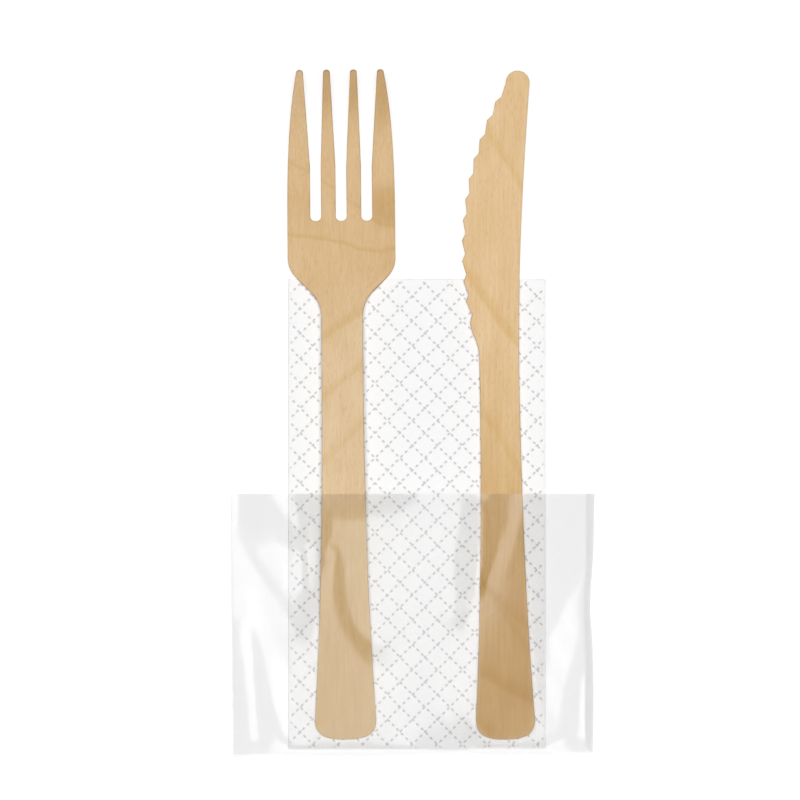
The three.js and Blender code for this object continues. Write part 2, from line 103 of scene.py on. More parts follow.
class WoodLook(bpy.types.PropertyGroup):
    """Shades of the birch veneer."""

    fork_pale: FloatVectorProperty(
        name="Fork, pale wood", description="Clear wood of the fork",
        default=linear(226, 202, 167), size=3, subtype="COLOR", min=0, max=1)
    fork_grain: FloatVectorProperty(
        name="Fork, grain", description="Darker fibres of the fork",
        default=linear(209, 178, 135), size=3, subtype="COLOR", min=0, max=1)
    knife_pale: FloatVectorProperty(
        name="Knife, pale wood", description="Clear wood of the knife",
        default=linear(229, 201, 161), size=3, subtype="COLOR", min=0, max=1)
    knife_grain: FloatVectorProperty(
        name="Knife, grain", description="Darker fibres of the knife",
        default=linear(211, 175, 126), size=3, subtype="COLOR", min=0, max=1)
    growth_line: FloatVectorProperty(
        name="Growth lines", description="Share of light that the honey coloured lines of growth keep",
        default=(0.92, 0.87, 0.72), size=3, subtype="COLOR", min=0, max=1)
    stain: FloatVectorProperty(
        name="Stains", description="Share of light that the darkest wood of tips and tines keeps",
        default=(0.86, 0.8, 0.67), size=3, subtype="COLOR", min=0, max=1)
    cut_edge: FloatVectorProperty(
        name="Cut edge", description="Sides of the veneer where the die cut it",
        default=linear(178, 138, 90), size=3, subtype="COLOR", min=0, max=1)
    pore_depth: FloatProperty(
        name="Pore depth", description="Depth of the open fibres in the surface",
        default=0.03 * MM, min=0, unit="LENGTH")


class NapkinLook(bpy.types.PropertyGroup):
    """Paper and embossing of the napkin."""

    paper: FloatVectorProperty(
        name="Paper", description="White of the tissue",
        default=linear(242, 242, 242), size=3, subtype="COLOR", min=0, max=1)
    # Grey of the dashes: partly the pressed paper's own grey, partly painted shade of the dash recesses
    pressed_paper_and_dash_shade: FloatVectorProperty(
        name="Pressed paper", description="Grey of the tissue where a dash presses it flat",
        default=linear(196, 196, 198), size=3, subtype="COLOR", min=0, max=1)
    line_spacing: FloatProperty(
        name="Line spacing", description="Distance between two embossed lines",
        default=4.35 * MM, min=MM, unit="LENGTH")
    dash_pitch: FloatProperty(
        name="Dash pitch", description="Distance from dash to dash along a line",
        default=1.59 * MM, min=0.5 * MM, unit="LENGTH")
    dash_length: FloatProperty(
        name="Dash length", description="Length of one embossed dash",
        default=1.25 * MM, min=0.2 * MM, unit="LENGTH")
    dash_width: FloatProperty(
        name="Dash width", description="Width of one embossed dash",
        default=0.66 * MM, min=0.1 * MM, unit="LENGTH")
    dash_depth: FloatProperty(
        name="Dash depth", description="Depth of one embossed dash",
        default=0.12 * MM, min=0, unit="LENGTH")
    puff: FloatProperty(
        name="Puff", description="How far the paper stands up between the lines",
        default=0.1 * MM, min=0, unit="LENGTH")
    ply: FloatProperty(
        name="Ply", description="Thickness of one layer of the tissue",
        default=0.14 * MM, min=0.02 * MM, unit="LENGTH")


class PouchLook(bpy.types.PropertyGroup):
    """Film of the pouch."""

    film: FloatProperty(
        name="Film thickness", description="Thickness of the pouch's wall",
        default=0.025 * MM, min=0.01 * MM, unit="LENGTH")
    mouth_lift: FloatProperty(
        name="Mouth lift", description="How far the open edge stands off the handles",
        default=1.4 * MM, min=0, unit="LENGTH")
    mirror: FloatProperty(
        name="Mirror", description="Share of light that one face of the film mirrors head on",
        default=0.08, min=0, max=1, subtype="FACTOR")


class StageLook(bpy.types.PropertyGroup):
    """Floor, light and camera."""

    floor: FloatVectorProperty(
        name="Floor", description="Colour of the floor",
        default=(0.32, 0.32, 0.32), size=3, subtype="COLOR", min=0, max=1)
    floor_glow: FloatProperty(
        name="Floor glow", description="Light of the floor itself, as on a light table",
        default=0.7, min=0)
    sky: FloatProperty(
        name="Sky", description="Light from all round, as the film mirrors it", default=0.06, min=0)
    horizon: FloatProperty(
        name="Horizon", description="Light near the horizon, as the film mirrors it", default=0.85, min=0)
    dome: FloatProperty(
        name="Dome", description="Even light from above that leaves no mirror image", default=0.93, min=0)
    softbox_width: FloatProperty(
        name="Softbox width", description="Diameter of the round softbox overhead",
        default=2.4, min=0.1, unit="LENGTH")
    softbox_height: FloatProperty(
        name="Softbox height", description="Height of the softbox above the floor",
        default=4.0, min=0.2, unit="LENGTH")
    softbox_light: FloatProperty(
        name="Softbox light", description="Brightness of the softbox's face",
        default=1.1, min=0)
    lens: FloatProperty(
        name="Lens", description="Focal length of the camera in millimetres", default=500, min=20)
    view_width: FloatProperty(
        name="View width", description="Width of the floor that the camera sees",
        default=197.5 * MM, min=0.01, unit="LENGTH")


class KitLook(bpy.types.PropertyGroup):
    """Sizes and colours of the whole kit."""

    wood: PointerProperty(type=WoodLook)
    napkin: PointerProperty(type=NapkinLook)
    pouch: PointerProperty(type=PouchLook)
    stage: PointerProperty(type=StageLook)


# Meshes

# Angles in degrees from which an edge of the veneer, and a fold of paper or film, is shaded as sharp
SHARP_EDGE, SHARP_FOLD = 48, 60


def new_object(name, data):
    """Object with its data, linked to the scene."""
    made = bpy.data.objects.new(name, data)
    bpy.context.scene.collection.objects.link(made)
    return made


def new_piece(name, points, faces, smooth=True):
    """Object with a mesh from points in millimetres."""
    mesh = bpy.data.meshes.new(name)
    mesh.from_pydata((np.asarray(points) * MM).tolist(), [], faces)
    mesh.update()
    if smooth:
        mesh.shade_smooth()
    else:
        mesh.shade_flat()
    return new_object(name, mesh)


def add_share(piece, name, values):
    """Share for each point of a piece's mesh, which its material reads by name."""
    share = piece.data.attributes.new(name, "FLOAT", "POINT")
    share.data.foreach_set("value", values)


def face_outwards(piece, weld=None):
    """Turns all faces of a closed mesh outwards, and first welds points that meet."""
    mesh = piece.data
    work = bmesh.new()
    work.from_mesh(mesh)
    if weld:
        bmesh.ops.remove_doubles(work, verts=work.verts, dist=weld)
    bmesh.ops.recalc_face_normals(work, faces=work.faces)
    open_edges = sum(not edge.is_manifold for edge in work.edges)
    work.to_mesh(mesh)
    work.free()
    if open_edges:
        raise RuntimeError(f"{piece.name} has {open_edges} edges that don't close")


# Node trees

def add_node(tree, kind, inputs=None, **settings):
    """Node with its settings made and its inputs set or linked."""
    node = tree.nodes.new(kind)
    for name, value in settings.items():
        setattr(node, name, value)
    for name, value in (inputs or {}).items():
        if isinstance(value, bpy.types.NodeSocket):
            tree.links.new(value, node.inputs[name])
        else:
            node.inputs[name].default_value = value
    return node


def calculate(tree, operation, *values):
    """Output of a Math node."""
    return add_node(tree, "ShaderNodeMath", dict(enumerate(values)), operation=operation).outputs[0]


def calculate_vector(tree, operation, *values):
    """Output of a Vector Math node that gives a vector."""
    node = add_node(tree, "ShaderNodeVectorMath", dict(enumerate(values)), operation=operation)
    return node.outputs[0]


def mix_colours(tree, share, first, second):
    """Output of a node that goes from the first colour to the second."""
    node = tree.nodes.new("ShaderNodeMix")
    node.data_type = "RGBA"
    for name, value in (("Factor_Float", share), ("A_Color", first), ("B_Color", second)):
        socket = next(s for s in node.inputs if s.identifier == name)
        if isinstance(value, bpy.types.NodeSocket):
            tree.links.new(value, socket)
        elif name == "Factor_Float":
            socket.default_value = value
        else:
            socket.default_value = (*value, 1)
    return next(s for s in node.outputs if s.identifier == "Result_Color")


def tinted(tree, share, colour, tint):
    """Output of a node that multiplies a share of a colour by a tint."""
    result = mix_colours(tree, share, colour, tint)
    result.node.blend_type = "MULTIPLY"
    return result


def remap(tree, value, low, high, to_low=0.0, to_high=1.0, smooth=False):
    """Output of a Map Range node."""
    return add_node(tree, "ShaderNodeMapRange", {
        "Value": value, "From Min": low, "From Max": high, "To Min": to_low, "To Max": to_high,
    }, interpolation_type="SMOOTHSTEP" if smooth else "LINEAR").outputs["Result"]


def noise(tree, vector, stretch, detail=2.0, roughness=0.5):
    """Noise between 0 and 1 on a vector in millimetres that is stretched first."""
    stretched = calculate_vector(tree, "MULTIPLY", vector, stretch)
    return add_node(tree, "ShaderNodeTexNoise", {
        "Vector": stretched, "Scale": 1.0, "Detail": detail, "Roughness": roughness,
    }).outputs["Fac"]


def millimetres(tree):
    """Place on the object in millimetres."""
    place = add_node(tree, "ShaderNodeTexCoord").outputs["Object"]
    scaled = add_node(tree, "ShaderNodeVectorMath", {0: place, "Scale": 1 / MM}, operation="SCALE")
    return scaled.outputs[0]


def add_bump(tree, shader, height, distance, strength):
    """Gives a shader fine relief, from heights that a distance scales."""
    bump = add_node(tree, "ShaderNodeBump", {"Height": height, "Distance": distance, "Strength": strength})
    tree.links.new(bump.outputs[0], shader.inputs["Normal"])


def new_material(name):
    """Material, its node tree and its shader."""
    material = bpy.data.materials.new(name)
    material.use_nodes = True
    return material, material.node_tree, material.node_tree.nodes["Principled BSDF"]


def new_group(name, inputs, outputs):
    """Shader node group with float or vector inputs and float outputs."""
    group = bpy.data.node_groups.new(name, "ShaderNodeTree")
    for label, kind in inputs:
        group.interface.new_socket(label, in_out="INPUT", socket_type=kind)
    for label in outputs:
        group.interface.new_socket(label, in_out="OUTPUT", socket_type="NodeSocketFloat")
    return group, group.nodes.new("NodeGroupInput").outputs, group.nodes.new("NodeGroupOutput").inputs


# Birch veneer

# Shares of the darker wood: everywhere, in the fibres, in the clouds and in the flecks
BASE_SHARE, FIBRE_SHARE, CLOUD_SHARE, FLECK_SHARE = 0.14, 0.4, 0.35, 0.25

# Reach of a stain through the veneer, so far that height makes no difference to it
STAIN_DEPTH = 1000


def birch_group():
    """Fibres, flecks and clouds of rotary-cut birch with its grain along Y, and how far its growth
    lines wander."""
    group, given, made = new_group(
        "birch_veneer", [("Place", "NodeSocketVector")], ["Wander", "Fibre", "Fleck", "Cloud"])
    place = given["Place"]
    wander = noise(group, place, (0.1, 0.06, 0.1), 1.0)
    group.links.new(remap(group, wander, 0.0, 1.0, -2.5, 2.5), made["Wander"])
    fibre = noise(group, place, (2.3, 0.09, 2.3), 3.0, 0.6)
    group.links.new(remap(group, fibre, 0.3, 0.7), made["Fibre"])
    fleck = noise(group, place, (3.8, 0.55, 3.8), 1.0)
    group.links.new(remap(group, fleck, 0.58, 0.72), made["Fleck"])
    cloud = noise(group, place, (0.16, 0.07, 0.16), 2.0)
    group.links.new(remap(group, cloud, 0.3, 0.7), made["Cloud"])
    return group


def growth_line_group():
    """Share of one growth line: sharp on its lower side and fading out over its width above."""
    group, given, made = new_group(
        "growth_line",
        [("Place", "NodeSocketVector"), ("Wander", "NodeSocketFloat"), ("Through", "NodeSocketVector"),
         ("Slope", "NodeSocketFloat"), ("Width", "NodeSocketFloat")],
        ["Line"])
    offset = calculate_vector(group, "SUBTRACT", given["Place"], given["Through"])
    axes = add_node(group, "ShaderNodeSeparateXYZ", {0: offset}).outputs
    climb = calculate(group, "MULTIPLY", axes["X"], given["Slope"])
    above = calculate(group, "ADD", calculate(group, "SUBTRACT", axes["Y"], climb), given["Wander"])
    height = calculate(group, "DIVIDE", above, given["Width"])
    fading = remap(group, height, 0.1, 1.0, 1.0, 0.0, smooth=True)
    rising = remap(group, height, -0.3, 0.1, smooth=True)
    group.links.new(calculate(group, "MULTIPLY", fading, rising), made["Line"])
    return group


def stain_group():
    """Share of one soft round stain with its own reach across and along the piece."""
    group, given, made = new_group(
        "stain",
        [("Place", "NodeSocketVector"), ("Middle", "NodeSocketVector"), ("Reach", "NodeSocketVector")],
        ["Stain"])
    offset = calculate_vector(group, "SUBTRACT", given["Place"], given["Middle"])
    scaled = calculate_vector(group, "DIVIDE", offset, given["Reach"])
    away = add_node(group, "ShaderNodeVectorMath", {0: scaled}, operation="LENGTH")
    group.links.new(remap(group, away.outputs["Value"], 0.3, 1.0, 1.0, 0.0, smooth=True), made["Stain"])
    return group


def birch_material(name, groups, pale, grain, look, tinted_zones, lines, stains):
    """Birch veneer. A tinted zone is where along the piece it starts, where it is full, and its tint.
    A growth line is a point that it runs through, its slope, width and strength. A stain is its middle
    and its reach."""
    material, tree, shader = new_material(name)
    place = millimetres(tree)
    birch = add_node(tree, "ShaderNodeGroup", {"Place": place}, node_tree=groups["veneer"]).outputs
    fibre, fleck = birch["Fibre"], birch["Fleck"]
    fibre_share = calculate(tree, "MULTIPLY_ADD", fibre, FIBRE_SHARE, BASE_SHARE)
    cloud_share = calculate(tree, "MULTIPLY", birch["Cloud"], CLOUD_SHARE)
    colour = mix_colours(tree, calculate(tree, "ADD", fibre_share, cloud_share), pale, grain)
    along = add_node(tree, "ShaderNodeSeparateXYZ", {0: place}).outputs["Y"]
    # A zone's tint can hold painted shade, as on the fork's head and tips
    for start, full, tint in tinted_zones:
        colour = tinted(tree, remap(tree, along, start, full, smooth=True), colour, tint)
    for through, slope, width, strength in lines:
        line = add_node(tree, "ShaderNodeGroup", node_tree=groups["line"], inputs={
            "Place": place, "Wander": birch["Wander"], "Through": (*through, 0),
            "Slope": slope, "Width": width,
        })
        share = calculate(tree, "MULTIPLY", line.outputs["Line"], strength)
        colour = tinted(tree, share, colour, look.growth_line)
    for middle, reach in stains:
        stain = add_node(tree, "ShaderNodeGroup", node_tree=groups["stain"], inputs={
            "Place": place, "Middle": (*middle, 0), "Reach": (*reach, STAIN_DEPTH),
        })
        colour = tinted(tree, stain.outputs["Stain"], colour, look.stain)
    fleck_share = calculate(tree, "MULTIPLY", fleck, FLECK_SHARE)
    colour = mix_colours(tree, fleck_share, colour, look.cut_edge)
    facing = add_node(tree, "ShaderNodeTexCoord").outputs["Normal"]
    upright = add_node(tree, "ShaderNodeSeparateXYZ", {0: facing}).outputs["Z"]
    side = remap(tree, calculate(tree, "ABSOLUTE", upright), 0.55, 0.2, 0.0, 0.8, smooth=True)
    colour = mix_colours(tree, side, colour, look.cut_edge)
    tree.links.new(colour, shader.inputs["Base Color"])
    tree.links.new(remap(tree, fibre, 0.0, 1.0, 0.55, 0.75), shader.inputs["Roughness"])
    shader.inputs["Specular IOR Level"].default_value = 0.35
    relief = calculate(tree, "SUBTRACT", calculate(tree, "MULTIPLY", fibre, 0.5), fleck)
    add_bump(tree, shader, relief, look.pore_depth, strength=0.7)
    return material


def dress_wood(node, material):
    """Piece with the solid's own shape, welded and evenly shaded, that stands for it."""
    mesh = frame["nodes"][node].data.copy()
    mesh.name = f"birch_{node}"
    piece = new_object(f"birch_{node}", mesh)
    for name in ("custom_normal", "sharp_face", "sharp_edge"):
        if name in mesh.attributes:
            mesh.attributes.remove(mesh.attributes[name])
    face_outwards(piece, weld=1e-7)
    mesh.shade_smooth()
    mesh.set_sharp_from_angle(angle=math.radians(SHARP_EDGE))
    evened = piece.modifiers.new("even_shading", "WEIGHTED_NORMAL")
    evened.keep_sharp = True
    evened.weight = 90
    mesh.materials.clear()
    mesh.materials.append(material)
    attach(piece, "root")
    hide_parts(node)


class CUTLERY_KIT_OT_cutlery(bpy.types.Operator):
    """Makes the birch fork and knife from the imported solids"""

    bl_idname = "cutlery_kit.cutlery"
    bl_label = "Fork and knife"

    def execute(self, context):
        look = context.scene.cutlery_kit.wood
        groups = {"veneer": birch_group(), "line": growth_line_group(), "stain": stain_group()}
        # Head tint: partly painted shade where the head slopes down into its bend, partly a warmer wood;
        # tips tint: painted shade where the tines curve up
        head, tips = (0.94, 0.88, 0.79), (0.95, 0.95, 0.98)
        fork_handle, fork_foot = (0.91, 0.87, 0.72), (0.94, 0.92, 0.84)
        knife_handle = (0.79, 0.71, 0.51)
        fork = birch_material(
            "fork_birch_veneer", groups, look.fork_pale, look.fork_grain, look,
            tinted_zones=(
                # Painted shade of the sloping head, partly warmer wood, and painted shade of the upturned
                # tips
                (12.0, 36.0, head),
                (66.0, 82.0, tips),
                (-16.0, -30.0, fork_handle),
                (-45.0, -70.0, fork_foot)),
            lines=(
                ((-27.7, 60.6), -0.65, 1.4, 0.6),
                ((-17.3, 41.9), -0.14, 1.5, 0.75),
                ((-17.4, 21.2), 0.78, 3.2, 0.75),
                ((-17.4, 7.5), 0.86, 3.2, 0.7),
                ((-13.5, -4.0), 1.0, 4.0, 0.5)),
            stains=(
                ((-21.3, 83.0), (2.8, 14.0)),
                ((-14.7, 83.0), (2.8, 14.0)),
                ((-7.6, 82.0), (3.6, 16.0)),
                ((-6.6, 51.0), (6.0, 7.5))))
        knife = birch_material(
            "knife_birch_veneer", groups, look.knife_pale, look.knife_grain, look,
            tinted_zones=((20.0, -55.0, knife_handle),),
            lines=(
                ((22.6, 62.0), -1.7, 6.0, 0.7),
                ((17.2, 28.4), -1.4, 5.0, 0.9),
                ((22.3, -7.5), -1.6, 5.0, 0.6),
                ((18.2, -43.5), -1.5, 4.0, 0.5),
                ((24.9, -49.5), -0.92, 4.0, 0.6),
                ((22.4, -67.5), -0.55, 5.0, 0.95),
                ((18.7, -78.5), -0.9, 4.0, 0.6)),
            stains=())
        for node, material in (("fork", fork), ("knife", knife)):
            dress_wood(node, material)
        return {"FINISHED"}


# Napkin

# How far a fold stands out beyond the start of its turn, as a share of a round fold
FOLD_FLATNESS = 0.15

# Distance between the doubled layers, half the room that one takes, and half the thickness of one
LAYER_PITCH, LAYER_HALF, SHEET_HALF = 0.45, 0.2, 0.18

# How far the strip's inner end stops short of the right fold, and how far its outer end passes it
INNER_GAP, OUTER_LAP = 0.6, 0.1

# Rows of faces along the napkin
NAPKIN_STEPS = 24

# Where two embossed lines cross, across and along the napkin
LATTICE_CROSSING = np.array([6.1, 29.0])

# How far the dashes shift from line to line and between the two families, as shares of their pitch
LINE_SHIFT, FAMILY_SHIFT = 0.618, 0.37

# Rings of mesh points in each dash, as how far out they lie and how many points they have
DASH_RINGS = ((1.0, 10), (0.5, 6))

# Share of a dash that its sloping sides take
DASH_SIDE = 0.5

# Mesh points from one embossed line to the next, between the dashes
PUFF_POINTS = 4

# Widths inside the top panel's edge: without mesh points, without embossing, and where it fades in
BARE_EDGE, PLAIN_EDGE, EMBOSS_FADE = 0.16, 0.01, 0.8


def turn_points(centre, radius, start, end, steps):
    """Points of a round turn of the sheet, from angle start to angle end, without its first point."""
    angles = np.radians(np.linspace(start, end, steps + 1)[1:])
    return [(centre[0] + radius * math.cos(a), centre[1] + radius * math.sin(a)) for a in angles]


def straight_points(start, end, level, steps):
    """Points on a level line from start to end, without its first point."""
    return [(x, level) for x in np.linspace(start, end, steps + 1)[1:]]


def napkin_path():
    """Middle line of the doubled sheet across the napkin, the steps that make up its top panel, and where
    its left and right turns start."""
    left, right, bottom = NAPKIN_LOW[0], NAPKIN_HIGH[0], NAPKIN_LOW[2]
    level = [bottom + LAYER_HALF + LAYER_PITCH * n for n in range(4)]
    tight = LAYER_PITCH / 2
    wide = (level[3] - level[0]) / 2
    left_turn = left + FOLD_FLATNESS * (wide + LAYER_HALF)
    right_turn = right - FOLD_FLATNESS * (tight + LAYER_HALF)
    inner_end, outer_end = right_turn - INNER_GAP, right_turn + OUTER_LAP
    path = [(inner_end, level[1])]
    path += straight_points(inner_end, left_turn, level[1], 8)
    path += turn_points((left_turn, (level[1] + level[2]) / 2), tight, 270, 90, 6)
    path += straight_points(left_turn, right_turn, level[2], 8)
    path += turn_points((right_turn, (level[2] + level[3]) / 2), tight, -90, 90, 8)
    top_start = len(path) - 1
    path += straight_points(right_turn, left_turn, level[3], 32)
    top_end = len(path) - 1
    path += turn_points((left_turn, (level[0] + level[3]) / 2), wide, 90, 270, 14)
    path += straight_points(left_turn, outer_end, level[0], 8)
    return np.array(path), top_start, top_end, left_turn, right_turn


def pressed_flat(across, left_turn, right_turn):
    """Places across the napkin after its folds are pressed flat beyond the start of their turns."""
    flat = across + (FOLD_FLATNESS - 1) * np.minimum(across - left_turn, 0)
    return flat + (FOLD_FLATNESS - 1) * np.maximum(across - right_turn, 0)


def hairpin(outer, inner, length, steps):
    """Outer and inner side of the sheet that is folded over at the napkin's upper end, as offsets from
    the middle line and places along the napkin."""
    curves = []
    for half in (outer, inner):
        places = np.linspace(0, length - outer, steps + 1)
        turn = np.radians(np.linspace(90, -90, 7)[1:-1])
        up = [(half, y) for y in places]
        over = [(half * math.sin(a), length - outer + half * math.cos(a)) for a in turn]
        down = [(-half, y) for y in places[::-1]]
        curves.append(np.array(up + over + down))
    return curves


def line_directions(family):
    """Direction along the embossed lines of one of the two families, and the one square to it."""
    run = np.array([1 if family else -1, 1]) / math.sqrt(2)
    return run, np.array([run[1], -run[0]])


def dash_starts(lines, family):
    """Where the dashes start on each numbered line of a family, as a share of their pitch."""
    return np.modf(np.abs(lines) * LINE_SHIFT + family * FAMILY_SHIFT)[0]


def dash_places(look, family):
    """Centres of the dashes of one family of embossed lines."""
    spacing, pitch = look.line_spacing / MM, look.dash_pitch / MM
    run, across = line_directions(family)
    reach = np.hypot(*(NAPKIN_HIGH - NAPKIN_LOW)[:2])
    lines = np.arange(-int(reach / spacing), int(reach / spacing) + 1)
    steps = np.arange(-int(reach / pitch), int(reach / pitch) + 1)
    centres = [LATTICE_CROSSING + across * line * spacing + run * (step + start) * pitch
               for line, start in zip(lines, dash_starts(lines, family)) for step in steps]
    return np.array(centres)


def pressed_share(points, look):
    """How far the paper is pressed down at each point, from 0 to 1, by the dashes of both families."""
    spacing, pitch = look.line_spacing / MM, look.dash_pitch / MM
    half_length, half_width = look.dash_length / MM / 2, look.dash_width / MM / 2
    offset = points - LATTICE_CROSSING
    pressed = np.zeros(len(points))
    for family in (0, 1):
        run, across = line_directions(family)
        line = np.round(offset @ across / spacing)
        step = offset @ run / pitch - dash_starts(line, family)
        beside = (offset @ across - line * spacing) / half_width
        ahead = (step - np.round(step)) * pitch / half_length
        inside = np.clip((1 - np.hypot(beside, ahead)) / DASH_SIDE, 0, 1)
        pressed = np.maximum(pressed, inside * inside * (3 - 2 * inside))
    return pressed


def embossed_panel(edge, look):
    """Points, faces and pressed share of the napkin's top panel inside its edge, a ring of points."""
    low, high = edge[:, :2].min(0), edge[:, :2].max(0)
    half_length, half_width = look.dash_length / MM / 2, look.dash_width / MM / 2
    spacing = look.line_spacing / MM
    inside = []
    for family in (0, 1):
        centres = dash_places(look, family)
        run, across = line_directions(family)
        for share, count in DASH_RINGS:
            for turn in np.linspace(0, 2 * math.pi, count, endpoint=False):
                shift = run * half_length * math.cos(turn) + across * half_width * math.sin(turn)
                inside.append(centres + share * shift)
    cell = spacing / PUFF_POINTS
    reach = np.arange(low[1] - high[0], high[1] - low[0], cell) + cell / 2
    grid_u, grid_v = np.meshgrid(reach, reach)
    diagonal = np.stack([(grid_u - grid_v).ravel(), (grid_u + grid_v).ravel()], 1) / math.sqrt(2)
    inside.append(diagonal + LATTICE_CROSSING)
    inside = np.concatenate(inside)
    keep = np.all((inside > low + BARE_EDGE) & (inside < high - BARE_EDGE), axis=1)
    flat = [Vector(p) for p in edge[:, :2]] + [Vector(p) for p in inside[keep]]
    ring = list(range(len(edge)))
    found, _, faces, _, _, _ = delaunay_2d_cdt(flat, [], [ring], 1, 1e-4)
    points = np.array([(p.x, p.y) for p in found])
    pressed = pressed_share(points, look)
    to_edge = np.min(np.concatenate([points - low, high - points], axis=1), axis=1)
    fade = np.clip((to_edge - PLAIN_EDGE) / EMBOSS_FADE, 0, 1)
    offset = points - LATTICE_CROSSING
    along_u = np.abs(np.sin(math.pi * (offset[:, 0] + offset[:, 1]) / math.sqrt(2) / spacing))
    along_v = np.abs(np.sin(math.pi * (offset[:, 1] - offset[:, 0]) / math.sqrt(2) / spacing))
    puffed = look.puff / MM * np.sqrt(along_u * along_v)
    height = edge[0, 2] + fade * (puffed - look.dash_depth / MM * pressed)
    return np.column_stack([points, height]), [list(f) for f in faces], pressed * fade


def napkin_mesh(look):
    """Points, faces and pressed share of the whole folded sheet, eight layers of paper."""
    path, top_start, top_end, left_turn, right_turn = napkin_path()
    length = NAPKIN_HIGH[1] - NAPKIN_LOW[1]
    outside, within = hairpin(SHEET_HALF, SHEET_HALF - look.ply / MM, length, NAPKIN_STEPS)
    count = len(outside)
    ring = np.concatenate([outside, within[::-1]])
    tangent = np.gradient(path, axis=0)
    tangent /= np.linalg.norm(tangent, axis=1)[:, None]
    normal = np.column_stack([tangent[:, 1], -tangent[:, 0]])
    points = np.zeros((len(path), len(ring), 3))
    across = path[:, None, 0] + normal[:, None, 0] * ring[None, :, 0]
    points[:, :, 0] = pressed_flat(across, left_turn, right_turn)
    points[:, :, 1] = NAPKIN_LOW[1] + ring[None, :, 1]
    points[:, :, 2] = path[:, None, 1] + normal[:, None, 1] * ring[None, :, 0]
    size = len(ring)
    faces = []
    for s in range(len(path) - 1):
        for k in range(size):
            if top_start <= s < top_end and k < NAPKIN_STEPS:
                continue
            after = (k + 1) % size
            faces.append([s * size + k, s * size + after, (s + 1) * size + after, (s + 1) * size + k])
    for s in (0, len(path) - 1):
        start, end = s * size, (s + 1) * size
        for k in range(count - 1):
            faces.append([start + k, start + k + 1, end - 2 - k, end - 1 - k])
    right_side = [points[top_start, k] for k in range(NAPKIN_STEPS)]
    upper_end = [points[s, NAPKIN_STEPS] for s in range(top_start, top_end)]
    left_side = [points[top_end, k] for k in range(NAPKIN_STEPS, 0, -1)]
    lower_end = [points[s, 0] for s in range(top_end, top_start, -1)]
    edge = np.array(right_side + upper_end + left_side + lower_end)
    panel, panel_faces, pressed = embossed_panel(edge, look)
    first = len(path) * size
    faces += [[first + v for v in face] for face in panel_faces]
    share = np.concatenate([np.zeros(first), pressed])
    return np.concatenate([points.reshape(-1, 3), panel]), faces, share


def tissue_material(look):
    """White two-ply tissue, crinkled finely across, grey in the dashes: partly the pressed paper's own
    grey, partly painted shade of their recesses.
    """
    material, tree, shader = new_material("embossed_tissue")
    place = millimetres(tree)
    pressed = add_node(tree, "ShaderNodeAttribute", attribute_name="pressed").outputs["Fac"]
    fibres = noise(tree, place, (1.6, 1.1, 1.6), 4.0, 0.7)
    crinkle = noise(tree, place, (0.5, 4.2, 0.5), 2.0, 0.6)
    shaded = calculate(tree, "MULTIPLY", remap(tree, fibres, 0.35, 0.75), 0.08)
    # The dashes turn grey: partly pressed paper, partly painted shade of their recesses
    share = calculate(tree, "MAXIMUM", pressed, shaded)
    colour = mix_colours(tree, share, look.paper, look.pressed_paper_and_dash_shade)
    tree.links.new(colour, shader.inputs["Base Color"])
    tree.links.new(remap(tree, pressed, 0.0, 1.0, 0.95, 0.75), shader.inputs["Roughness"])
    shader.inputs["Specular IOR Level"].default_value = 0.2
    relief = calculate(tree, "ADD", crinkle, calculate(tree, "MULTIPLY", fibres, 0.6))
    add_bump(tree, shader, relief, 0.03 * MM, strength=0.6)
    return material


class CUTLERY_KIT_OT_napkin(bpy.types.Operator):
    """Folds the paper napkin and embosses its top panel"""

    bl_idname = "cutlery_kit.napkin"
    bl_label = "Napkin"

    def execute(self, context):
        look = context.scene.cutlery_kit.napkin
        points, faces, share = napkin_mesh(look)
        napkin = new_piece("folded_napkin", points, faces)
        add_share(napkin, "pressed", share)
        face_outwards(napkin, weld=2e-6)
        napkin.data.set_sharp_from_angle(angle=math.radians(SHARP_FOLD))
        napkin.data.materials.append(tissue_material(look))
        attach(napkin, "root")
        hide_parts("napkin")
        return {"FINISHED"}


# Film pouch

